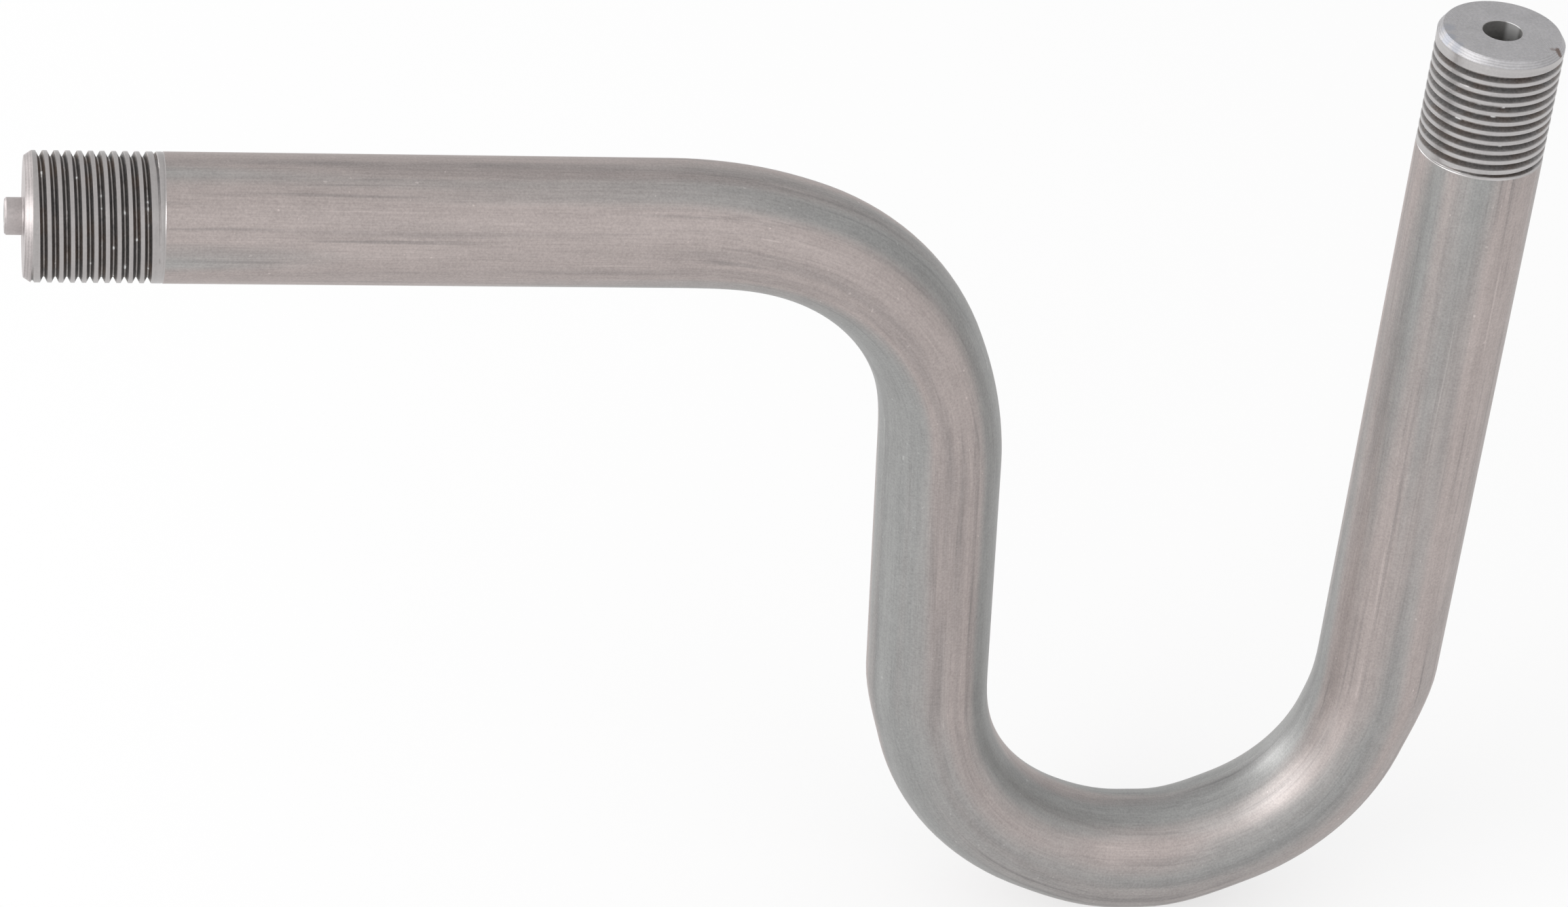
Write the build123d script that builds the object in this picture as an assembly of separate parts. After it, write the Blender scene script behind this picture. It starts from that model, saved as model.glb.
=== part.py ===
from build123d import *

import math
import os
from dataclasses import dataclass

# Pressure gauge siphon: one bent steel pipe with a G 1/2 B male thread at each
# end. Millimetres. The origin is the centre of the shoulder that seals at the
# process end. The arm runs along +X, the gauge leg rises along +Z, and the
# whole centreline lies in the XZ plane.

# Tube
tube_od = 21.0
tube_wall = 2.6

# Centreline: arm, knee, falling leg, two return bends with a short flat
# between them, gauge leg
bend_radius = 39.7
arm_length = 113.0
knee_turn = 86.0
fall_length = 56.0
first_return_turn = 86.0
return_flat = 0.5
second_return_turn = 90.0
gauge_leg_length = 128.3

# Tube bent over a former goes slightly oval. Each bend has the share by which
# its in-plane radius shrinks and the distance its section sinks inwards. The
# oval grows over the run-in angle and spreads the tube sideways by a part of
# what it takes away in the plane.
knee_oval = 0.095
knee_sink = 1.1
first_return_oval = 0.060
first_return_sink = 0.6
second_return_oval = 0.075
second_return_sink = 0.35
oval_spread = 0.5
oval_run_in = 24.0
section_spacing = 8.0

# G 1/2 B ends: the turned length under the thread, its chamfer, and the metal
# that closes the tube in around its passage. Each turn of the thread is a ring
# groove with the thread's flanks, and the groove's mouth and root are widths.
thread_major = 20.955
thread_pitch = 1.814
thread_depth = 0.95
thread_turns = 11
thread_start = 1.9
groove_mouth = 1.17
groove_root = 0.2
turned_length = 22.0
end_chamfer = 0.8
end_chamfer_length = 1.2
closed_length = 26.0
closing_cone_angle = 45.0

# Process end: centring spigot with the passage through it
spigot_diameter = 6.0
spigot_length = 3.0
spigot_edge = 0.3
process_passage = 3.5

# Gauge end: bore that takes the gauge's own spigot
gauge_bore = 6.5

NODE = "siphon_pipe"
STANDING = (Align.CENTER, Align.CENTER, Align.MIN)


@dataclass
class Station:
    """A place on the centreline: x, z and heading in degrees from +X."""

    x: float
    z: float
    heading: float

    def along(self) -> tuple[float, float]:
        """Unit direction of travel as (x, z)."""
        angle = math.radians(self.heading)
        return math.cos(angle), math.sin(angle)

    def plane(self, offset: float = 0.0, side: int = 1) -> Plane:
        """Cross-section plane, moved by an offset towards the bend's inside."""
        dx, dz = self.along()
        inward = (-side * dz, side * dx)
        origin = (self.x + inward[0] * offset, 0, self.z + inward[1] * offset)
        return Plane(origin=origin, x_dir=(inward[0], 0, inward[1]), z_dir=(dx, 0, dz))

    def ahead(self, length: float) -> "Station":
        """The station reached by going straight on."""
        dx, dz = self.along()
        return Station(self.x + dx * length, self.z + dz * length, self.heading)

    def turned(self, turn: float) -> "Station":
        """The station reached along an arc of the bend radius, + turning up."""
        side = math.copysign(1, turn)
        dx, dz = self.along()
        centre_x = self.x - side * bend_radius * dz
        centre_z = self.z + side * bend_radius * dx
        angle = math.radians(self.heading + turn)
        x = centre_x + side * bend_radius * math.sin(angle)
        z = centre_z - side * bend_radius * math.cos(angle)
        return Station(x, z, self.heading + turn)

    def looking_back(self) -> "Station":
        """The same place, heading back along the centreline."""
        return Station(self.x, self.z, self.heading + 180)


@dataclass
class Straight:
    """A straight length of tube."""

    length: float

    def end(self, start: Station) -> Station:
        """Where it ends."""
        return start.ahead(self.length)

    def body(self, start: Station, inset: float) -> Part:
        """A round bar as wide as the tube, less an inset all round."""
        return rod(start, tube_od / 2 - inset, self.length)


@dataclass
class Bend:
    """A bend: signed turn in degrees, share of ovality and inward sink."""

    turn: float
    oval: float
    sink: float

    def end(self, start: Station) -> Station:
        """Where it ends."""
        return start.turned(self.turn)

    def body(self, start: Station, inset: float) -> Part:
        """The oval bend, less an inset all round, lofted through its sections."""
        side = 1 if self.turn > 0 else -1
        total = abs(self.turn)
        gaps = max(6, round(total / section_spacing))
        radius = tube_od / 2
        sections = []
        for index in range(gaps + 1):
            angle = total * index / gaps
            share = min(1, min(angle, total - angle) / oval_run_in)
            ease = share * share * (3 - 2 * share)
            place = start.turned(side * angle).plane(self.sink * ease, side)
            in_plane = radius * (1 - self.oval * ease) - inset
            across = radius * (1 + self.oval * oval_spread * ease) - inset
            round_end = index in (0, gaps)
            sections.append(place * (Circle(radius - inset) if round_end else Ellipse(in_plane, across)))
        return loft(sections)


def rod(start: Station, radius: float, length: float) -> Part:
    """A round bar that runs straight on from a station."""
    return start.plane() * Cylinder(radius, length, align=STANDING)


def taper(start: Station, near_radius: float, far_radius: float, length: float) -> Part:
    """A cone frustum that runs straight on from a station."""
    return start.plane() * Cone(near_radius, far_radius, length, align=STANDING)


def thread_cutter(face: Station) -> Part:
    """The comb-shaped ring that cuts every groove of one thread."""
    crest = thread_major / 2
    root = crest - thread_depth
    rim = crest + 0.2 * thread_depth
    spread = (groove_mouth - groove_root) / 2 / thread_depth * (rim - crest)
    outline = [(rim + 1, thread_start - thread_pitch)]
    outline.append((rim, thread_start - thread_pitch))
    for turn in range(thread_turns):
        middle = thread_start + turn * thread_pitch
        wide = groove_mouth / 2 + spread
        outline.append((rim, middle - wide))
        outline.append((root, middle - groove_root / 2))
        outline.append((root, middle + groove_root / 2))
        outline.append((rim, middle + wide))
    end = thread_start + thread_turns * thread_pitch
    outline.append((rim, end))
    outline.append((rim + 1, end))
    comb = make_face(Polyline(*[(radius, 0, distance) for radius, distance in outline], close=True))
    return face.plane() * revolve(comb, Axis.Z, 360)


def threaded_end(face: Station) -> Part:
    """The chamfered bar and the thread on it, from the end face inwards."""
    radius = thread_major / 2
    chamfered = taper(face, radius - end_chamfer, radius, end_chamfer_length)
    bar = chamfered + rod(face.ahead(end_chamfer_length), radius, turned_length - end_chamfer_length)
    return bar - thread_cutter(face)


def end_passage(face: Station, diameter: float) -> tuple[Part, float]:
    """The passage through a closed-in end, and how far it reaches from the face."""
    bore = tube_od / 2 - tube_wall
    cone_length = (bore - diameter / 2) / math.tan(math.radians(closing_cone_angle))
    drilled = rod(face, diameter / 2, closed_length)
    opening = taper(face.ahead(closed_length), diameter / 2, bore, cone_length)
    return drilled + opening, closed_length + cone_length


def process_spigot(face: Station) -> Part:
    """The spigot in front of the process shoulder, with its edge broken."""
    bar = rod(face.looking_back(), spigot_diameter / 2, spigot_length)
    rim = bar.edges().group_by(Axis.X)[0]
    return chamfer(rim, spigot_edge)


def siphon_pipe() -> Part:
    """The bent pipe with its threaded ends, spigot and inner passage."""
    process_face = Station(0, 0, 0)
    process_opening, process_reach = end_passage(process_face, process_passage)
    process_opening += rod(process_face.looking_back(), process_passage / 2, spigot_length)

    bends_and_flats = [
        Bend(-knee_turn, knee_oval, knee_sink),
        Straight(fall_length),
        Bend(first_return_turn, first_return_oval, first_return_sink),
        Straight(return_flat),
        Bend(second_return_turn, second_return_oval, second_return_sink),
    ]
    arm_end = process_face.ahead(arm_length)
    arm = rod(process_face.ahead(turned_length), tube_od / 2, arm_length - turned_length)
    outside = process_spigot(process_face) + threaded_end(process_face) + arm
    inside = process_opening
    inside += Straight(arm_length - process_reach).body(process_face.ahead(process_reach), tube_wall)

    place = arm_end
    for step in bends_and_flats:
        outside += step.body(place, 0)
        inside += step.body(place, tube_wall)
        place = step.end(place)

    gauge_face = place.ahead(gauge_leg_length).looking_back()
    gauge_opening, gauge_reach = end_passage(gauge_face, gauge_bore)
    outside += Straight(gauge_leg_length - turned_length).body(place, 0)
    outside += threaded_end(gauge_face)
    inside += Straight(gauge_leg_length - gauge_reach).body(place, tube_wall)
    inside += gauge_opening
    return outside - inside


def main() -> None:
    """Write the pipe's STEP file."""
    os.makedirs("parts", exist_ok=True)
    pipe = siphon_pipe()
    export_step(pipe, f"parts/{NODE}.step")
    print(NODE, "volume", round(pipe.volume, 1), "solids", len(pipe.solids()))


main()
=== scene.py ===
import logging
import math
from collections.abc import Iterator
from dataclasses import dataclass, replace
from enum import IntEnum

import bmesh
import bpy
from mathutils import Matrix, Vector, noise


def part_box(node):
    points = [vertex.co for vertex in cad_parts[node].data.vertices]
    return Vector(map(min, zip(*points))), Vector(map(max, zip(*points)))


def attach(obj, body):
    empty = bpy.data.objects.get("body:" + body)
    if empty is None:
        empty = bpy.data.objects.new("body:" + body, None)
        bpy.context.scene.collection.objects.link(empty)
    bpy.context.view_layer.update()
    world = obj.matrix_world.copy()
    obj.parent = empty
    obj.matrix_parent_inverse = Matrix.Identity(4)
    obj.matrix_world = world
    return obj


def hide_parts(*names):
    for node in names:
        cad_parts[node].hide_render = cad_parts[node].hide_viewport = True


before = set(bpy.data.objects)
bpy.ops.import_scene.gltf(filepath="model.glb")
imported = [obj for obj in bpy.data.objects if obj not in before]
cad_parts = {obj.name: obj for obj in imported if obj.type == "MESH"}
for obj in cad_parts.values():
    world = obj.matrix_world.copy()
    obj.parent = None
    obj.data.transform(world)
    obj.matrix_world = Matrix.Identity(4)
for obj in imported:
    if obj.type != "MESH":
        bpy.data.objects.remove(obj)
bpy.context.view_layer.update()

MM = 0.001
TURN = 2 * math.pi
Colour = tuple[float, float, float]
Triple = tuple[float, float, float]
log = logging.getLogger("gauge_siphon")


# Shader maths


class Wire:
    """A socket in a node tree. Arithmetic on it adds Math nodes."""

    def __init__(self, tree: bpy.types.NodeTree, socket: bpy.types.NodeSocket) -> None:
        """Keep the socket and the tree that it belongs to."""
        self.tree = tree
        self.socket = socket

    def maths(self, operation: str, *values: "Wire | float", clamp: bool = False) -> "Wire":
        """Add one Math node.

        Args:
            operation: The node's operation.
            values: Its inputs in order, sockets or numbers.
            clamp: Whether the result stays between 0 and 1.

        Returns:
            The node's result.
        """
        node = self.tree.nodes.new("ShaderNodeMath")
        node.operation = operation
        node.use_clamp = clamp
        for index, value in enumerate(values):
            if isinstance(value, Wire):
                self.tree.links.new(value.socket, node.inputs[index])
            else:
                node.inputs[index].default_value = value
        return Wire(self.tree, node.outputs[0])

    def __add__(self, other: "Wire | float") -> "Wire":
        """Sum."""
        return self.maths("ADD", self, other)

    __radd__ = __add__

    def __sub__(self, other: "Wire | float") -> "Wire":
        """Difference."""
        return self.maths("SUBTRACT", self, other)

    def __rsub__(self, other: float) -> "Wire":
        """Difference from a number."""
        return self.maths("SUBTRACT", other, self)

    def __mul__(self, other: "Wire | float") -> "Wire":
        """Product."""
        return self.maths("MULTIPLY", self, other)

    __rmul__ = __mul__

    def __truediv__(self, other: "Wire | float") -> "Wire":
        """Quotient."""
        return self.maths("DIVIDE", self, other)

    def __rtruediv__(self, other: float) -> "Wire":
        """Quotient of a number."""
        return self.maths("DIVIDE", other, self)

    def __pow__(self, other: "Wire | float") -> "Wire":
        """Power."""
        return self.maths("POWER", self, other)

    def clamped(self) -> "Wire":
        """The value kept between 0 and 1."""
        return self.maths("ADD", self, 0.0, clamp=True)

    def sine(self) -> "Wire":
        """The sine of the value."""
        return self.maths("SINE", self)

    def at_least(self, other: "Wire | float") -> "Wire":
        """The higher of two values."""
        return self.maths("MAXIMUM", self, other)


class Recipe:
    """Builds the nodes of one material or world."""

    def __init__(self, tree: bpy.types.NodeTree) -> None:
        """Start from an empty tree."""
        self.tree = tree
        tree.nodes.clear()

    def node(
        self,
        kind: str,
        settings: dict[str, object] | None = None,
        sockets: dict[str | int, object] | None = None,
        output: str | int = 0,
    ) -> Wire:
        """Add any node.

        Args:
            kind: The node's type name after ShaderNode.
            settings: Its properties.
            sockets: Values or wires for its inputs.
            output: Which output to return.

        Returns:
            The output as a wire.
        """
        made = self.tree.nodes.new("ShaderNode" + kind)
        for name, value in (settings or {}).items():
            setattr(made, name, value)
        for key, value in (sockets or {}).items():
            if isinstance(value, Wire):
                self.tree.links.new(value.socket, made.inputs[key])
            else:
                made.inputs[key].default_value = value
        if not made.outputs:
            return Wire(self.tree, made.inputs[0])
        return Wire(self.tree, made.outputs[output])

    def mix(self, first: object, second: object, share: Wire | float) -> Wire:
        """Blend two colours.

        Args:
            first: Colour or wire at share 0.
            second: Colour or wire at share 1.
            share: How much of the second.

        Returns:
            The blended colour.
        """
        made = self.tree.nodes.new("ShaderNodeMix")
        made.data_type = "RGBA"
        for index, value in ((0, share), (6, first), (7, second)):
            if isinstance(value, Wire):
                self.tree.links.new(value.socket, made.inputs[index])
            elif index:
                made.inputs[index].default_value = (*value[:3], 1.0)
            else:
                made.inputs[index].default_value = value
        return Wire(self.tree, made.outputs[2])

    def shade(self, colour: object, gain: Wire) -> Wire:
        """Multiply a colour by a gain that varies.

        Args:
            colour: Colour or wire.
            gain: The factor.

        Returns:
            The brighter or darker colour.
        """
        start = self.mix(colour, colour, 0.0) if isinstance(colour, tuple) else colour
        made = self.tree.nodes.new("ShaderNodeVectorMath")
        made.operation = "SCALE"
        self.tree.links.new(start.socket, made.inputs[0])
        self.tree.links.new(gain.socket, made.inputs["Scale"])
        return Wire(self.tree, made.outputs[0])

    def stretch(self, vector: Wire, factors: Triple) -> Wire:
        """Scale a coordinate by its own factor on each axis."""
        sockets = {0: vector, 1: factors}
        return self.node("VectorMath", {"operation": "MULTIPLY"}, sockets)

    def cloud(self, vector: Wire, scale: float, detail: float = 2.0, rough: float = 0.5) -> Wire:
        """Smooth noise with its middle at 0.5.

        Args:
            vector: The coordinate.
            scale: How many features fit in a metre.
            detail: How many finer layers are added.
            rough: How strong the finer layers are.

        Returns:
            The noise, from about 0 to 1.
        """
        sockets = {"Vector": vector, "Scale": scale, "Detail": detail, "Roughness": rough}
        return self.node("TexNoise", {"noise_dimensions": "3D"}, sockets)

    def step(self, value: Wire, low: float, high: float) -> Wire:
        """A soft step, which falls where low is above high.

        Args:
            value: What is stepped.
            low: Where the result is 0.
            high: Where the result is 1.

        Returns:
            The step, from 0 to 1.
        """
        settings = {"interpolation_type": "SMOOTHSTEP"}
        sockets = {"Value": value, "From Min": low, "From Max": high, "To Min": 0.0, "To Max": 1.0}
        if low > high:
            sockets.update({"From Min": high, "From Max": low, "To Min": 1.0, "To Max": 0.0})
        return self.node("MapRange", settings, sockets)

    def bump(self, height: Wire, depth: float, strength: float = 1.0) -> Wire:
        """A Bump node whose full height is a depth in metres."""
        sockets = {"Height": height, "Distance": depth, "Strength": strength}
        return self.node("Bump", None, sockets)

    def attribute(self, name: str, output: str) -> Wire:
        """A mesh attribute by name."""
        return self.node("Attribute", {"attribute_name": name}, None, output)

    def metal(self, colour: Wire, roughness: Wire, normal: Wire, metallic: float = 1.0) -> None:
        """Finish a metal material.

        Args:
            colour: Its colour.
            roughness: Its roughness.
            normal: Its bumped normal.
            metallic: How much of it shines as metal.
        """
        sockets = {
            "Base Color": colour,
            "Metallic": metallic,
            "Roughness": roughness,
            "Normal": normal,
        }
        surface = self.node("BsdfPrincipled", None, sockets)
        self.node("OutputMaterial", None, {"Surface": surface})


def new_material(name: str) -> tuple[bpy.types.Material, Recipe]:
    """Make an empty node material.

    Args:
        name: The material's name.

    Returns:
        The material and the recipe that fills it.
    """
    material = bpy.data.materials.new(name)
    material.use_nodes = True
    return material, Recipe(material.node_tree)


# Finishes


@dataclass(frozen=True)
class BrushedTube:
    """Drawn stainless tube, satin along its length and round its bends."""

    warm: Colour = (0.438, 0.386, 0.372)
    cool: Colour = (0.346, 0.346, 0.341)
    # The colour of the random darker streaks and of the painted shade bands.
    dark_streak_and_shade: Colour = (0.190, 0.186, 0.186)
    roughness: float = 0.47
    # The width and wander of the painted shade bands.
    painted_band_half_width: float = 1.5
    painted_band_wander: float = 5.0

    def _painted_band(self, recipe: Recipe, straight: Wire, across: str, along: str) -> Wire:
        """Painted shade: a long darker band on one side of the tube that stands in for a reflection of
        darker surroundings.

        Args:
            recipe: The material's recipe.
            straight: The place on the straightened pipe.
            across: The axis that the line is narrow on.
            along: The axis whose upper half it lies on.

        Returns:
            How much of the line is there, from 0 to 1.
        """
        parts = {axis: recipe.node("SeparateXYZ", None, {0: straight}, axis) for axis in "XYZ"}
        only_run = recipe.stretch(straight, (20.0, 20.0, 14.0))
        wander = recipe.cloud(only_run, 1.0, 2.0)
        offset = parts[across] + (wander - 0.5) * (self.painted_band_wander * MM)
        away = offset.maths("ABSOLUTE", offset)
        line = recipe.step(away, self.painted_band_half_width * MM, 0.2 * MM)
        strength = recipe.step(recipe.cloud(only_run, 1.9, 2.0), 0.34, 0.60)
        return line * strength * recipe.step(parts[along], 0.0, 4 * MM)

    def material(self) -> bpy.types.Material:
        """Build the finish.

        Returns:
            The material.
        """
        material, recipe = new_material("brushed_tube")
        straight = recipe.attribute("straight_run", "Vector")
        bands = recipe.cloud(recipe.stretch(straight, (105.0, 105.0, 5.0)), 1.0, 1.5)
        tone = recipe.cloud(recipe.stretch(straight, (210.0, 210.0, 9.0)), 1.0, 2.0, 0.55)
        streaks = recipe.cloud(recipe.stretch(straight, (700.0, 700.0, 16.0)), 1.0, 3.0, 0.6)
        hairs = recipe.cloud(recipe.stretch(straight, (3600.0, 3600.0, 110.0)), 1.0, 2.0, 0.6)
        mottle = recipe.cloud(straight, 260.0, 3.0, 0.6)
        grain = recipe.cloud(straight, 2600.0, 2.0, 0.7)
        scratch = recipe.cloud(recipe.stretch(straight, (1500.0, 1500.0, 30.0)), 1.0, 1.0)
        speck = recipe.cloud(straight, 1300.0, 0.0)

        # Painted shade: two long darker bands, one on each section's sideways side and one on its
        # upward side, stand in for reflections of darker surroundings; they join the random streaks in
        # one darkening.
        painted_band_sideways = self._painted_band(recipe, straight, "X", "Y")
        painted_band_upward = self._painted_band(recipe, straight, "Y", "X")
        colour = recipe.mix(self.cool, self.warm, recipe.step(bands, 0.38, 0.56))
        streaks_and_painted_shade = recipe.step(streaks, 0.54, 0.78) * 0.46 + recipe.step(tone, 0.52, 0.68) * 0.26
        streaks_and_painted_shade = (streaks_and_painted_shade + painted_band_sideways * 0.24 + painted_band_upward * 0.24).clamped()
        colour = recipe.mix(colour, self.dark_streak_and_shade, streaks_and_painted_shade)
        gain = 1.0 + (mottle - 0.5) * 0.18 + (hairs - 0.5) * 0.36 + (grain - 0.5) * 0.55
        gain = gain + recipe.step(tone, 0.46, 0.34) * 0.08
        gain = gain + recipe.step(scratch, 0.70, 0.78) * 0.14 + recipe.step(speck, 0.84, 0.88) * 0.30
        roughness = self.roughness + (streaks - 0.5) * 0.12 + (hairs - 0.5) * 0.10
        relief = hairs * 0.4 + streaks * 0.3 + grain * 0.4
        recipe.metal(recipe.shade(colour, gain), roughness, recipe.bump(relief, 0.006 * MM))
        return material


@dataclass(frozen=True)
class CutThread:
    """Cut thread: turned crests, flanks darkened with painted shade, painted glints and a broken
    lighter line in the root.
    """

    name: str
    crest: Colour = (0.425, 0.405, 0.400)
    # Painted shade: the flanks' darker colour; the brown patches over it are stained and darkened by
    # the same painted shade.
    flank_painted_shade: Colour = (0.195, 0.188, 0.187)
    stain_and_painted_shade: Colour = (0.225, 0.188, 0.168)
    root: Colour = (0.360, 0.340, 0.330)
    # Painted highlight: the colour of the glints in the root.
    painted_glint: Colour = (0.800, 0.800, 0.800)
    root_share: float = 0.75

    def material(self) -> bpy.types.Material:
        """Build the finish.

        Returns:
            The material.
        """
        material, recipe = new_material(self.name)
        straight = recipe.attribute("straight_run", "Vector")
        cut = recipe.attribute("cut_depth", "Fac")
        grain = recipe.cloud(straight, 2300.0, 3.0, 0.7)
        patches = recipe.cloud(straight, 210.0, 3.0, 0.6)
        round_marks = recipe.cloud(recipe.stretch(straight, (60.0, 60.0, 2600.0)), 1.0, 2.0)
        breaks = recipe.cloud(recipe.stretch(straight, (380.0, 380.0, 500.0)), 1.0, 2.0, 0.7)

        crest_gain = 1.0 + (grain - 0.5) * 0.30 + (round_marks - 0.5) * 0.24 + (patches - 0.5) * 0.2
        crest = recipe.shade(self.crest, crest_gain)
        # Painted shade: the grooves take the flanks' darker colour, brown in patches and varied by
        # noise.
        flank_painted_shade = recipe.mix(self.flank_painted_shade, self.stain_and_painted_shade, recipe.step(patches, 0.42, 0.66))
        flank_painted_shade = recipe.shade(flank_painted_shade, 0.35 + grain * 1.3)
        in_groove = recipe.step(cut, 0.03, 0.24)
        # A broken lighter line in the root, where the painted shade lets up.
        at_root = recipe.step(cut, 0.84, 0.97) * recipe.step(breaks, 0.30, 0.52) * self.root_share
        # Painted highlight: pale glints in the root, broken by noise.
        painted_highlight = recipe.step(cut, 0.80, 0.95) * recipe.step(breaks, 0.62, 0.70)
        colour = recipe.mix(crest, flank_painted_shade, in_groove)
        colour = recipe.mix(colour, self.root, at_root)
        colour = recipe.mix(colour, self.painted_glint, painted_highlight)
        roughness = 0.34 + in_groove * 0.14 + (grain - 0.5) * 0.2
        relief = round_marks * 0.5 + grain * 0.5
        recipe.metal(colour, roughness, recipe.bump(relief, 0.012 * MM))
        return material


@dataclass(frozen=True)
class Mark:
    """A small mark on a turned end; the rust spots are rust, the bluish patches also serve as painted
    shade; places and sizes are in millimetres.
    """

    across: float
    up: float
    radius: float
    colour: Colour
    share: float

    def paint(self, recipe: Recipe, colour: Wire, flat: Wire, ragged: Wire) -> Wire:
        """Lay the mark over a colour.

        Args:
            recipe: The material's recipe.
            colour: The colour under the mark.
            flat: The place on the end face.
            ragged: Noise that breaks up the mark's edge.

        Returns:
            The colour with the mark.
        """
        centre = (self.across * MM, self.up * MM, 0.0)
        away = recipe.node("VectorMath", {"operation": "DISTANCE"}, {0: flat, 1: centre}, "Value")
        edge = away + (ragged - 0.5) * (1.1 * self.radius * MM)
        inside = recipe.step(edge, self.radius * MM, 0.35 * self.radius * MM)
        return recipe.mix(colour, self.colour, inside * self.share)


@dataclass(frozen=True)
class TurnedFace:
    """Faced-off end with fine rings from the lathe tool."""

    name: str = "turned_face"
    colour: Colour = (0.455, 0.447, 0.457)
    ring_pitch: float = 0.24
    marks: tuple[Mark, ...] = ()

    def material(self) -> bpy.types.Material:
        """Build the finish.

        Returns:
            The material.
        """
        material, recipe = new_material(self.name)
        straight = recipe.attribute("straight_run", "Vector")
        flat = recipe.stretch(straight, (1.0, 1.0, 0.0))
        radius = recipe.node("VectorMath", {"operation": "LENGTH"}, {0: flat}, "Value")
        wander = recipe.cloud(straight, 300.0, 2.0)
        grain = recipe.cloud(straight, 2400.0, 3.0, 0.7)
        patches = recipe.cloud(straight, 190.0, 3.0, 0.6)
        waves = (radius * (TURN / (self.ring_pitch * MM)) + wander * 3.0).sine()
        rings = waves * 0.5 + 0.5
        gain = 1.0 + (rings - 0.5) * 0.22 + (grain - 0.5) * 0.60 + (patches - 0.5) * 0.30
        roughness = 0.46 + (grain - 0.5) * 0.2 + (rings - 0.5) * 0.06
        relief = recipe.bump(rings * 0.5 + grain * 0.5, 0.008 * MM)
        colour = recipe.shade(self.colour, gain)
        ragged = recipe.cloud(straight, 1100.0, 3.0, 0.6)
        for mark in self.marks:
            colour = mark.paint(recipe, colour, flat, ragged)
        recipe.metal(colour, roughness, relief)
        return material


@dataclass(frozen=True)
class DrilledBore:
    """The drilled passages and the matt wall inside the tube, with a painted reflection: a pale band
    along one side of the bore stands in for a lamp's reflection.
    """

    colour: Colour = (0.330, 0.322, 0.316)
    # Painted reflection: the pale band's colour and the side of the bore that it lies on.
    painted_highlight: Colour = (0.900, 0.895, 0.890)
    painted_reflection_side: Triple = (-0.773, -0.635, 0.0)

    def material(self) -> bpy.types.Material:
        """Build the finish.

        Returns:
            The material.
        """
        material, recipe = new_material("drilled_bore")
        straight = recipe.attribute("straight_run", "Vector")
        sockets = {0: straight, 1: self.painted_reflection_side}
        side = recipe.node("VectorMath", {"operation": "DOT_PRODUCT"}, sockets, "Value")
        # Painted reflection: a pale band on one side of the bore wall stands in for a lamp's
        # reflection; its roughness is lowered there too.
        painted_reflection = recipe.step(side, 2.85 * MM, 3.2 * MM) * recipe.step(side, 3.5 * MM, 3.3 * MM)
        rings = recipe.cloud(recipe.stretch(straight, (120.0, 120.0, 2200.0)), 1.0, 2.0)
        grain = recipe.cloud(straight, 1800.0, 3.0, 0.7)
        gain = 1.0 + (rings - 0.5) * 0.5 + (grain - 0.5) * 0.4
        roughness = 0.42 + (rings - 0.5) * 0.2 - painted_reflection * 0.12
        relief = recipe.bump(rings, 0.015 * MM)
        colour = recipe.mix(recipe.shade(self.colour, gain), self.painted_highlight, painted_reflection)
        recipe.metal(colour, roughness, relief, 0.7)
        return material


# The pipe


class Surface(IntEnum):
    """Which finish a face of the pipe takes, in the order of its material slots."""

    TUBE = 0
    PROCESS_THREAD = 1
    GAUGE_THREAD = 2
    FACE = 3
    BORE = 4
    SPIGOT = 5


@dataclass(frozen=True)
class Section:
    """One cross-section of the pipe, in metres."""

    centre: Vector
    upward: Vector
    sideways: Vector
    in_plane: float
    across: float
    run: float

    def place(self, angle: float, inset: float = 0.0) -> Vector:
        """A point of the section.

        Args:
            angle: The angle round it.
            inset: How far the point lies inside its edge.

        Returns:
            The point.
        """
        first = self.upward * ((self.in_plane - inset) * math.cos(angle))
        second = self.sideways * ((self.across - inset) * math.sin(angle))
        return self.centre + first + second


@dataclass(frozen=True)
class Step:
    """A place on the centreline: x and z in millimetres, heading in radians."""

    x: float
    z: float
    heading: float

    def ahead(self, length: float, heading: float) -> "Step":
        """Go on from here.

        Args:
            length: How far to go.
            heading: In which direction.

        Returns:
            The place reached.
        """
        x = self.x + length * math.cos(heading)
        return Step(x, self.z + length * math.sin(heading), heading)


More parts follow.
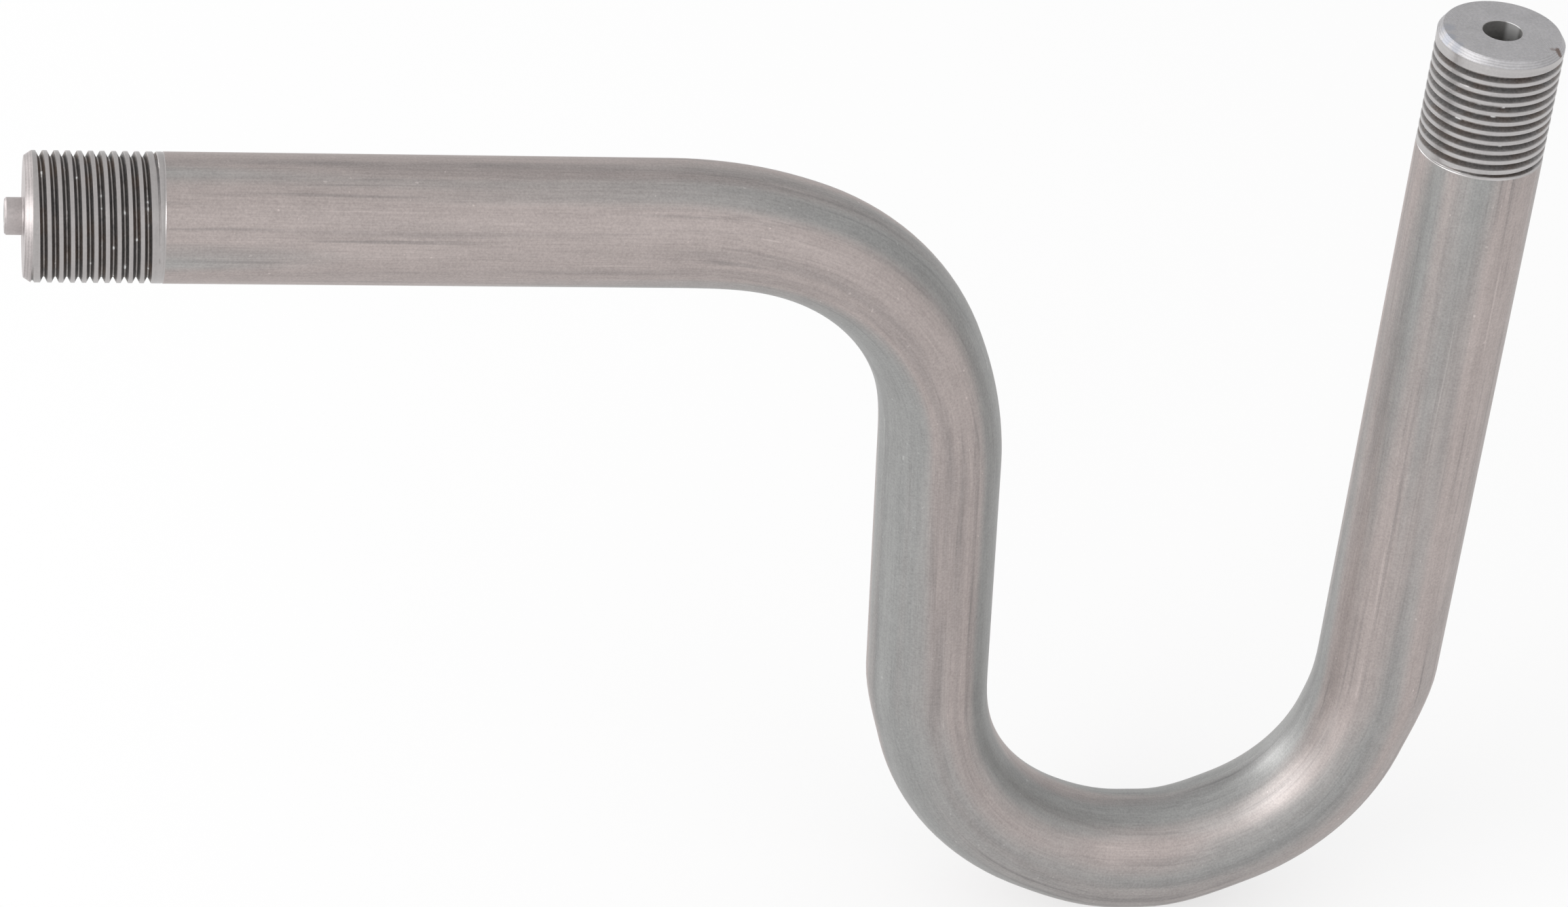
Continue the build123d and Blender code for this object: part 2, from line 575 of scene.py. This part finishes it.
@dataclass(frozen=True)
class Bend:
    """A bend that tightens over a length, holds its radius and eases out again."""

    turn: float
    radius: float
    tighten: float
    ease_out: float
    oval: float
    sink: float
    oval_in: float
    oval_out: float

    @property
    def reach(self) -> float:
        """The length of its centreline."""
        arc = abs(math.radians(self.turn)) * self.radius
        return arc + (self.tighten + self.ease_out) / 2

    def turned(self, run: float) -> float:
        """How far it has turned after a run, in radians.

        Args:
            run: The length from its start.

        Returns:
            The angle, negative for a bend that turns down.
        """

        def gained(length: float, ramp: float) -> float:
            """The length that counts as fully bent.

            Args:
                length: The length from the ramp's start.
                ramp: The ramp's own length.

            Returns:
                The counted length.
            """
            share = min(1.0, length / ramp) if ramp else 1.0
            return ramp * (share**3 - share**4 / 2) + max(0.0, length - ramp)

        past = max(0.0, run - (self.reach - self.ease_out))
        lost = past - self.ease_out / 2 + gained(self.ease_out - past, self.ease_out)
        bent = gained(run, self.tighten) - (lost if past else 0.0)
        return math.copysign(bent / self.radius, self.turn)

    def walk(self, start: Step, spacing: float) -> list[tuple[Step, float]]:
        """Follow its centreline.

        Args:
            start: Where it begins.
            spacing: The longest step.

        Returns:
            Each place on it with the length up to there.
        """
        steps = max(1, math.ceil(self.reach / spacing))
        parts = 16
        fine = self.reach / steps / parts
        here, places = start, [(start, 0.0)]
        for index in range(steps):
            for part in range(parts):
                run = (index * parts + part + 0.5) * fine
                here = here.ahead(fine, start.heading + self.turned(run))
            run = (index + 1) * parts * fine
            here = Step(here.x, here.z, start.heading + self.turned(run))
            places.append((here, run))
        return places

    def tangents(self) -> tuple[float, float]:
        """Measure it from the corner where the two straights would meet.

        Returns:
            How far its start and its end lie from that corner.
        """
        end = self.walk(Step(0.0, 0.0, 0.0), 2.0)[-1][0]
        turn = abs(math.radians(self.turn))
        return end.x - abs(end.z) / math.tan(turn), abs(end.z) / math.sin(turn)

    def ovality(self, run: float) -> float:
        """How far its oval has grown after a run, from 0 to 1."""
        share = min(1.0, run / self.oval_in, (self.reach - run) / self.oval_out)
        return share * share * (3 - 2 * share)


class Skin:
    """A closed surface that is sewn together from rings of points."""

    def __init__(self, columns: int) -> None:
        """Start an empty surface.

        Args:
            columns: How many points each ring has.
        """
        self.columns = columns
        self.mesh = bmesh.new()
        self.straight = self.mesh.verts.layers.float_vector.new("straight_run")
        self.cut = self.mesh.verts.layers.float.new("cut_depth")

    def point(self, place: Vector, straight: Vector, cut: float = 0.0) -> bmesh.types.BMVert:
        """Add a point.

        Args:
            place: Where it is.
            straight: Where it would be if the pipe were straight.
            cut: How deep it is in the thread, from 0 to 1.

        Returns:
            The new vertex.
        """
        vertex = self.mesh.verts.new(place)
        vertex[self.straight] = straight
        vertex[self.cut] = cut
        return vertex

    def face(self, corners: list[bmesh.types.BMVert], surface: Surface) -> None:
        """Add a face, unless too few different corners are left.

        Args:
            corners: Its corners in order, some of them perhaps the same.
            surface: Its finish.
        """
        unique = list(dict.fromkeys(corners))
        if len(unique) > 2:
            self.mesh.faces.new(unique).material_index = surface

    def sleeve(self, rings: list[list[bmesh.types.BMVert]], surface: Surface) -> None:
        """Join rings to their neighbours.

        Args:
            rings: The rings in order.
            surface: The finish between them.
        """
        for first, second in zip(rings, rings[1:]):
            for column in range(self.columns):
                after = (column + 1) % self.columns
                corners = [first[column], first[after], second[after], second[column]]
                self.face(corners, surface)

    def finish(self, name: str) -> bpy.types.Object:
        """Close the seams and make the object.

        Args:
            name: The object's name.

        Returns:
            The object, linked to the scene.
        """
        bmesh.ops.remove_doubles(self.mesh, verts=self.mesh.verts, dist=0.0005 * MM)
        bmesh.ops.recalc_face_normals(self.mesh, faces=self.mesh.faces)
        loose = sum(1 for edge in self.mesh.edges if not edge.is_manifold)
        log.info("%s: %d faces, %d open edges", name, len(self.mesh.faces), loose)
        data = bpy.data.meshes.new(name)
        self.mesh.to_mesh(data)
        self.mesh.free()
        data.polygons.foreach_set("use_smooth", [True] * len(data.polygons))
        data.set_sharp_from_angle(angle=math.radians(26))
        piece = bpy.data.objects.new(name, data)
        bpy.context.scene.collection.objects.link(piece)
        return piece


@dataclass(frozen=True)
class ThreadForm:
    """The G 1/2 B thread, in millimetres.

    Distances run from the end face. The groove starts between start_from and start_full,
    and runs out between fade_from and fade_to.
    """

    pitch: float = 1.814
    crest_radius: float = 10.4775
    depth: float = 0.95
    half_mouth: float = 0.587
    half_root: float = 0.10
    chamfer: float = 1.2
    chamfer_drop: float = 0.8
    start_from: float = 1.1
    start_full: float = 1.9
    fade_from: float = 19.4
    fade_to: float = 21.3
    reach: float = 21.6
    first_ease: float = 0.3
    last_ease: float = 0.35

    def groove(self, distance: float, angle: float, lead: float) -> float:
        """How deep the groove is at a place.

        Args:
            distance: Distance from the end face.
            angle: Angle round the pipe.
            lead: Where a groove's middle lies at angle 0.

        Returns:
            The depth below the crest.
        """
        turns = (distance - lead) / self.pitch - angle / TURN
        from_middle = (turns - round(turns)) * self.pitch
        middle = distance - from_middle
        across = (self.half_mouth - abs(from_middle)) / (self.half_mouth - self.half_root)
        fade = self.ease(middle, self.fade_from, self.fade_to)
        start = self.ease(middle, self.start_full, self.start_from)
        first = self.ease(distance, 0.0, self.first_ease)
        last = self.ease(distance, self.reach, self.reach - self.last_ease)
        ends = first * last
        return max(0.0, min(1.0, across) - fade - start) * self.depth * ends

    @staticmethod
    def ease(value: float, low: float, high: float) -> float:
        """A soft step, which falls where low is above high.

        Args:
            value: What is stepped.
            low: Where the result is 0.
            high: Where the result is 1.

        Returns:
            The step, from 0 to 1.
        """
        share = min(1.0, max(0.0, (value - low) / (high - low)))
        return share * share * (3 - 2 * share)

    def rows(self) -> list[float]:
        """Space the mesh's rows across one pitch.

        Returns:
            The rows' distances from the groove's middle.
        """
        mouth, root = self.half_mouth, self.half_root
        slope = mouth - root
        half = [root, root + slope * 0.12, root + slope * 0.45, root + slope * 0.8]
        half += [mouth, mouth + 0.05]
        middle_of_crest = self.pitch / 2
        spread = [-value for value in reversed(half)] + [0.0] + half
        return spread + [middle_of_crest - 0.12, middle_of_crest + 0.12 - 1e-9]


@dataclass(frozen=True)
class ThreadedEnd:
    """One threaded end. Distances run from its face into the pipe, in millimetres."""

    face: Vector
    inward: Vector
    upward: Vector
    lead: float
    face_run: float
    run_sense: int
    surface: Surface
    end_surface: Surface
    form: ThreadForm = ThreadForm()
    turned_length: float = 22.0
    tube_radius: float = 10.5
    burr_seed: float = 0.0
    burr_depth: float = 0.16

    def point(
        self, skin: Skin, distance: float, angle: float, radius: float, cut: float = 0.0
    ) -> bmesh.types.BMVert:
        """Add a point of this end.

        Args:
            skin: The surface that takes it.
            distance: Distance from the face.
            angle: Angle round this end, right-handed about its inward direction.
            radius: Distance from the axis.
            cut: How deep it is in the thread, from 0 to 1.

        Returns:
            The new vertex.
        """
        side = self.inward.cross(self.upward)
        radial = self.upward * math.cos(angle) + side * math.sin(angle)
        place = self.face + (self.inward * distance + radial * radius) * MM
        turned = angle * self.run_sense
        run = self.face_run + self.run_sense * distance
        straight = Vector((radius * math.cos(turned), radius * math.sin(turned), run)) * MM
        return skin.point(place, straight, cut)

    def ring(self, skin: Skin, distance: float, radius: float) -> list[bmesh.types.BMVert]:
        """Add a plain ring.

        Args:
            skin: The surface that takes it.
            distance: Distance from the face.
            radius: Its radius.

        Returns:
            The ring's points in order.
        """
        step = TURN / skin.columns
        return [self.point(skin, distance, step * column, radius) for column in range(skin.columns)]

    def lathe(self, skin: Skin, outline: list[tuple[float, float]], surface: Surface) -> None:
        """Turn an outline into a surface.

        Args:
            skin: The surface that takes it.
            outline: Its corners as (distance, radius).
            surface: Its finish.
        """
        rings = [self.ring(skin, distance, radius) for distance, radius in outline]
        skin.sleeve(rings, surface)

    def _radius(self, distance: float, angle: float) -> tuple[float, float]:
        """Measure the threaded surface at a place.

        Args:
            distance: Distance from the face.
            angle: Angle round this end.

        Returns:
            The radius, and the cut's depth from 0 to 1.
        """
        form = self.form
        groove = form.groove(distance, angle, self.lead)
        cone = form.crest_radius - form.chamfer_drop * (1 - distance / form.chamfer)
        threaded = form.crest_radius - groove
        burr_end = min(form.fade_to, form.reach)
        if form.first_ease < distance < burr_end and groove < 0.3 * form.depth:
            spot = Vector((math.cos(angle) * 9, math.sin(angle) * 9, distance * 1.4 + self.burr_seed))
            ragged = max(0.0, noise.noise(spot) - 0.25) * self.burr_depth
            threaded -= ragged * (1 if groove else 0.35)
        radius = min(cone, threaded)
        return radius, max(0.0, min(1.0, (min(cone, form.crest_radius) - radius) / form.depth))

    def _threaded_zone(
        self, skin: Skin, near: float, far: float, rows: list[float], surface: Surface
    ) -> None:
        """Add the surface between two distances, with rows that follow the thread.

        Args:
            skin: The surface that takes it.
            near: Where it starts.
            far: Where it ends.
            rows: Where rows lie across one pitch.
            surface: Which finish it takes.
        """
        pitch, columns = self.form.pitch, skin.columns
        first = math.floor((near - self.lead) / pitch) - 2
        last = math.ceil((far - self.lead) / pitch) + 2
        turns = range(first, last + 1)
        starts = [self.lead + pitch * turn + offset for turn in turns for offset in rows]
        known: dict[tuple[int, float], bmesh.types.BMVert] = {}

        def vertex(row: int, column: int) -> bmesh.types.BMVert:
            """A point of a row, clamped to the zone.

            Args:
                row: The row's number.
                column: The column's number.

            Returns:
                The vertex, made once for each place.
            """
            if column == columns:
                row, column = row + len(rows), 0
            distance = min(far, max(near, starts[row] + pitch * column / columns))
            key = (column, round(distance, 6))
            if key not in known:
                angle = TURN * column / columns
                radius, cut = self._radius(distance, angle)
                known[key] = self.point(skin, distance, angle, radius, cut)
            return known[key]

        for row in range(len(starts) - len(rows) - 1):
            for column in range(columns):
                corners = [vertex(row, column), vertex(row, column + 1)]
                corners += [vertex(row + 1, column + 1), vertex(row + 1, column)]
                skin.face(corners, surface)

    def build(self, skin: Skin) -> None:
        """Add the chamfer, the thread and the plain band behind it.

        Args:
            skin: The surface that takes them.
        """
        rows = self.form.rows()
        fine = sorted({round(value + shift, 4) for value in rows for shift in (0.0, 0.055)})
        self._threaded_zone(skin, 0.0, self.form.chamfer, fine, self.end_surface)
        self._threaded_zone(skin, self.form.chamfer, self.form.reach, rows, self.surface)
        crest, tube = self.form.crest_radius, self.tube_radius
        end = self.turned_length
        band = [(self.form.reach, crest), (end - 0.34, crest), (end - 0.30, crest - 0.03)]
        band += [(end - 0.16, crest - 0.05)]
        band += [(end - 0.10, crest - 0.03), (end - 0.04, tube), (end, tube)]
        self.lathe(skin, band, self.surface)


@dataclass(frozen=True)
class SiphonPipe:
    """The bent pipe with a threaded end towards the process and one towards the gauge."""

    tube_radius: float = 10.5
    wall: float = 2.6
    bend_radius: float = 39.7
    straights: tuple[float, ...] = (113.0, 56.0, 0.5, 128.3)
    bends: tuple[Bend, ...] = (
        Bend(-86.0, 39.5, 18.5, 18.5, oval=0.090, sink=0.8, oval_in=22.5, oval_out=22.5),
        Bend(86.0, 38.8, 9.0, 0.0, oval=0.060, sink=0.8, oval_in=13.0, oval_out=16.6),
        Bend(90.0, 36.6, 0.0, 11.0, oval=0.070, sink=1.4, oval_in=16.6, oval_out=15.0),
    )
    oval_spread: float = 0.5
    turned_length: float = 22.0
    closed_length: float = 26.0
    spigot_radius: float = 3.0
    spigot_length: float = 3.0
    spigot_edge: float = 0.3
    spigot_fillet: float = 0.25
    process_passage: float = 1.75
    gauge_bore: float = 3.25
    columns: int = 104
    process_lead: float = 0.70
    gauge_lead: float = 1.89

    def _eased_straights(self) -> list[float]:
        """The straight lengths left between bends that ease into them.

        Returns:
            The lengths, with the corners kept where plain arcs would have them.
        """
        lengths = list(self.straights)
        for index, bend in enumerate(self.bends):
            plain = self.bend_radius * math.tan(abs(math.radians(bend.turn)) / 2)
            before, after = bend.tangents()
            lengths[index] -= before - plain
            lengths[index + 1] -= after - plain
        return lengths

    def _walk(self, spacing: float) -> Iterator[tuple[Step, float, Bend | None, float]]:
        """Walk the centreline from the process face to the gauge face.

        Args:
            spacing: The longest step.

        Yields:
            Each place, the whole run up to it, the bend it is in and the run into that bend.
        """
        here, run = Step(0.0, 0.0, 0.0), 0.0
        for index, length in enumerate(self._eased_straights()):
            steps = max(1, math.ceil(length / spacing))
            for part in range(steps + 1):
                into = length * part / steps
                yield here.ahead(into, here.heading), run + into, None, 0.0
            here, run = here.ahead(length, here.heading), run + length
            if index < len(self.bends):
                bend = self.bends[index]
                places = bend.walk(here, spacing)
                for place, into in places:
                    yield place, run + into, bend, into
                here, run = places[-1][0], run + bend.reach

    def sections(self, spacing: float) -> list[Section]:
        """The tube's cross-sections from the process face to the gauge face.

        Args:
            spacing: The longest step between them in millimetres.

        Returns:
            The sections in order.
        """
        made: list[Section] = []
        for place, run, bend, into in self._walk(spacing):
            if made and run * MM - made[-1].run < 1e-9:
                continue
            ease = bend.ovality(into) if bend else 0.0
            oval = bend.oval * ease if bend else 0.0
            sink = math.copysign(bend.sink * ease, bend.turn) if bend else 0.0
            upward = Vector((-math.sin(place.heading), 0.0, math.cos(place.heading)))
            centre = Vector((place.x, 0.0, place.z)) + upward * sink
            in_plane = self.tube_radius * (1 - oval) * MM
            across = self.tube_radius * (1 + oval * self.oval_spread) * MM
            sideways = Vector((0, -1, 0))
            made.append(Section(centre * MM, upward, sideways, in_plane, across, run * MM))
        return made

    def _sleeve(
        self, skin: Skin, spacing: float, inset: float, near: float, far: float, surface: Surface
    ) -> None:
        """Add the wall of the tube between two distances along it.

        Args:
            skin: The surface that takes it.
            spacing: The longest step.
            inset: How far it lies inside the tube's outside.
            near: Where it starts, from the process face.
            far: How far before the gauge face it ends.
            surface: Its finish.
        """
        sections = self.sections(spacing)
        total = sections[-1].run
        first = self._between(sections, near * MM)
        last = self._between(sections, total - far * MM)
        kept = [s for s in sections if first.run + 0.3 * MM < s.run < last.run - 0.3 * MM]
        rings = []
        for section in [first, *kept, last]:
            ring = []
            for column in range(skin.columns):
                angle = TURN * column / skin.columns
                radius = section.in_plane - inset * MM
                straight = Vector((radius * math.cos(angle), radius * math.sin(angle), section.run))
                ring.append(skin.point(section.place(angle, inset * MM), straight))
            rings.append(ring)
        skin.sleeve(rings, surface)

    @staticmethod
    def _between(sections: list[Section], run: float) -> Section:
        """Find the section at a distance along a straight end.

        Args:
            sections: The pipe's sections in order.
            run: The distance from the process face, in metres.

        Returns:
            The section there.
        """
        for first, second in zip(sections, sections[1:]):
            if first.run <= run <= second.run + 1e-9:
                share = (run - first.run) / (second.run - first.run)
                centre = first.centre.lerp(second.centre, share)
                return replace(first, centre=centre, run=run)
        raise ValueError("the distance lies beyond the pipe")

    def build(self) -> bpy.types.Object:
        """Build the whole pipe.

        Returns:
            The pipe's mesh object.
        """
        skin = Skin(self.columns)
        ends = self.sections(2.0)
        total = ends[-1].run / MM
        gauge_form = ThreadForm(start_from=2.35, start_full=2.8, fade_from=20.9, fade_to=22.4)
        process = ThreadedEnd(
            Vector((0, 0, 0)), Vector((1, 0, 0)), ends[0].upward, self.process_lead, 0.0, 1,
            Surface.PROCESS_THREAD, Surface.SPIGOT, burr_seed=3.0,
        )
        gauge = ThreadedEnd(
            ends[-1].centre, Vector((0, 0, -1)), ends[-1].upward, self.gauge_lead, total, -1,
            Surface.GAUGE_THREAD, Surface.FACE, gauge_form, burr_seed=47.0,
        )
        rim = process.form.crest_radius - process.form.chamfer_drop
        bore = self.tube_radius - self.wall
        for end in (process, gauge):
            end.build(skin)
        self._sleeve(skin, 2.0, 0.0, self.turned_length, self.turned_length, Surface.TUBE)

        tip = -self.spigot_length
        spigot = self.spigot_radius
        foot = spigot + self.spigot_fillet
        process.lathe(skin, [(0, rim), (0, rim - 1.5), (0, 6.0), (0, foot)], Surface.SPIGOT)
        outline = [(0, foot), (-0.07, spigot + 0.09), (-0.2, spigot), (-1.4, spigot)]
        outline += [(tip + self.spigot_edge, spigot), (tip, spigot - self.spigot_edge)]
        outline += [(tip, self.process_passage + 0.15)]
        process.lathe(skin, outline, Surface.SPIGOT)
        cone = bore - self.process_passage
        outline = [(tip, self.process_passage + 0.15), (tip + 0.15, self.process_passage)]
        outline += [(self.closed_length, self.process_passage), (self.closed_length + cone, bore)]
        process.lathe(skin, outline, Surface.BORE)
        near = self.closed_length + cone

        gauge.lathe(skin, [(0, rim), (0, 7.5), (0, 5.4), (0, self.gauge_bore + 0.08)], Surface.FACE)
        cone = bore - self.gauge_bore
        outline = [(0, self.gauge_bore + 0.08), (0.08, self.gauge_bore), (6, self.gauge_bore)]
        outline += [(self.closed_length, self.gauge_bore), (self.closed_length + cone, bore)]
        gauge.lathe(skin, outline, Surface.BORE)
        far = self.closed_length + cone
        self._sleeve(skin, 4.0, self.wall, near, far, Surface.BORE)
        piece = skin.finish("siphon_pipe_skin")
        for material in self._materials():
            piece.data.materials.append(material)
        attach(piece, "root")
        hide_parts("siphon_pipe")
        return piece

    @staticmethod
    def _materials() -> list[bpy.types.Material]:
        """Build the finishes.

        Returns:
            The materials in the order of Surface.
        """
        # The rust spots are rust; the bluish patches on the chamfer's left are a bluish tone that also
        # serves as painted shade, toning down where the left lamp lights the chamfer.
        rust, tint_and_painted_shade = (0.150, 0.100, 0.080), (0.340, 0.360, 0.410)
        rust_and_painted_shade_marks = (
            Mark(-7.9, 6.0, 0.9, rust, 0.85),
            Mark(-6.8, 5.7, 0.6, rust, 0.50),
            Mark(8.8, -0.8, 1.6, tint_and_painted_shade, 0.50),
            Mark(9.5, 2.1, 1.6, tint_and_painted_shade, 0.60),
            Mark(8.7, 4.6, 1.5, tint_and_painted_shade, 0.50),
        )
        # The gauge thread takes a lighter painted shade in its grooves, lighter crests and a fainter
        # line in the root.
        gauge_thread = CutThread(
            "gauge_thread",
            crest=(0.490, 0.475, 0.472),
            flank_painted_shade=(0.290, 0.282, 0.280),
            stain_and_painted_shade=(0.280, 0.250, 0.235),
            root_share=0.2,
        )
        finishes = {
            Surface.TUBE: BrushedTube(),
            Surface.PROCESS_THREAD: CutThread("process_thread"),
            Surface.GAUGE_THREAD: gauge_thread,
            Surface.FACE: TurnedFace(marks=rust_and_painted_shade_marks),
            Surface.BORE: DrilledBore(),
            Surface.SPIGOT: TurnedFace(
                "turned_spigot", colour=(0.455, 0.420, 0.416), ring_pitch=0.30
            ),
        }
        return [finishes[surface].material() for surface in Surface]


# Studio


@dataclass(frozen=True)
class Lamp:
    """A soft rectangular lamp aimed at the pipe."""

    name: str
    place: Triple
    size: tuple[float, float]
    power: float
    colour: Colour = (1.0, 1.0, 1.0)

    def build(self, aim: Vector) -> bpy.types.Object:
        """Hang the lamp and aim it.

        Args:
            aim: The point that it faces.

        Returns:
            The lamp's object.
        """
        data = bpy.data.lights.new(self.name, "AREA")
        data.shape = "RECTANGLE"
        data.size, data.size_y = self.size
        data.energy = self.power
        data.color = self.colour
        lamp = bpy.data.objects.new(self.name, data)
        lamp.location = self.place
        lamp.rotation_euler = (aim - Vector(self.place)).to_track_quat("-Z", "Y").to_euler()
        bpy.context.scene.collection.objects.link(lamp)
        return lamp


@dataclass(frozen=True)
class Camera:
    """The view of the pipe: a long lens from above and to the left."""

    place: Triple = (-0.03042, -0.74064, 0.46248)
    forward: Triple = (0.172068, 0.812191, -0.557439)
    right: Triple = (0.98508, -0.140125, 0.099908)
    lens: float = 125.47
    shift: tuple[float, float] = (0.0014, 0.0025)

    def build(self) -> bpy.types.Object:
        """Set up the camera and make it the scene's own.

        Returns:
            The camera's object.
        """
        data = bpy.data.cameras.new("siphon_view")
        data.sensor_width = 36.0
        data.lens = self.lens
        data.shift_x, data.shift_y = self.shift
        data.clip_start = 0.01
        view = bpy.data.objects.new("siphon_view", data)
        back = -Vector(self.forward).normalized()
        right = Vector(self.right).normalized()
        up = back.cross(right)
        axes = Matrix((right, up, back)).transposed().to_4x4()
        view.matrix_world = Matrix.Translation(self.place) @ axes
        bpy.context.scene.collection.objects.link(view)
        bpy.context.scene.camera = view
        return view


@dataclass(frozen=True)
class Studio:
    """A plain pale floor, a soft sky and a few large lamps."""

    floor_colour: Colour = (0.92, 0.92, 0.92)
    floor_size: float = 6.0
    sky_far: Colour = (0.78, 0.78, 0.78)
    sky_near: Colour = (0.95, 0.95, 0.95)
    near_side: Triple = (-0.85, -0.45, 0.25)
    glow: float = 0.62
    lamps: tuple[Lamp, ...] = (
        Lamp("left_lamp", (-1.25, -0.75, 0.50), (1.3, 0.8), 12.0),
        Lamp("front_lamp", (0.75, -1.25, 0.60), (0.9, 0.8), 1.2),
        Lamp("back_left_lamp", (-1.15, 0.90, 0.20), (0.9, 0.5), 5.0),
    )

    def _floor_material(self) -> bpy.types.Material:
        """Build a pale floor that reads as white and keeps the shadow.

        Returns:
            The material.
        """
        material, recipe = new_material("studio_floor")
        coords = recipe.node("TexCoord", None, None, "Object")
        tone = recipe.cloud(coords, 3.0, 2.0)
        colour = recipe.shade(self.floor_colour, 0.99 + tone * 0.02)
        lit = recipe.node("BsdfDiffuse", None, {"Color": colour})
        glow = recipe.node("Emission", None, {"Color": (1, 1, 1, 1), "Strength": 1.0})
        kinds = ("Camera", "Glossy", "Transmission")
        rays = [recipe.node("LightPath", None, None, f"Is {kind} Ray") for kind in kinds]
        seen = rays[0].at_least(rays[1]).at_least(rays[2])
        surface = recipe.node("MixShader", None, {0: seen * self.glow, 1: lit, 2: glow})
        recipe.node("OutputMaterial", None, {"Surface": surface})
        return material

    def _sky(self) -> None:
        """An even pale sky, a little brighter on the lamps' side."""
        world = bpy.data.worlds.new("studio_sky")
        world.use_nodes = True
        recipe = Recipe(world.node_tree)
        coords = recipe.node("TexCoord", None, None, "Generated")
        towards = recipe.node(
            "VectorMath", {"operation": "DOT_PRODUCT"}, {0: coords, 1: self.near_side}, "Value"
        )
        colour = recipe.mix(self.sky_far, self.sky_near, recipe.step(towards, -0.9, 0.9))
        sky = recipe.node("Background", None, {"Color": colour, "Strength": 1.0})
        recipe.node("OutputWorld", None, {"Surface": sky})
        bpy.context.scene.world = world

    def build(self) -> None:
        """Lay the floor, light the scene and set the view transform."""
        low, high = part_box("siphon_pipe")
        middle = (low + high) / 2
        half = self.floor_size / 2
        corners = [(-half, -half), (half, -half), (half, half), (-half, half)]
        data = bpy.data.meshes.new("studio_floor")
        data.from_pydata([(middle.x + x, middle.y + y, low.z) for x, y in corners], [], [(0, 1, 2, 3)])
        floor = bpy.data.objects.new("studio_floor", data)
        data.materials.append(self._floor_material())
        bpy.context.scene.collection.objects.link(floor)
        self._sky()
        for lamp in self.lamps:
            lamp.build(middle)
        bpy.context.scene.view_settings.view_transform = "Standard"


def main() -> None:
    """Build the pipe, its studio and the view."""
    Camera().build()
    pipe = SiphonPipe().build()
    log.info("built %s", pipe.name)
    Studio().build()
    log.info("built the studio")


if __name__ == "__main__":
    logging.basicConfig(level=logging.INFO, format="%(name)s: %(message)s")
    main()
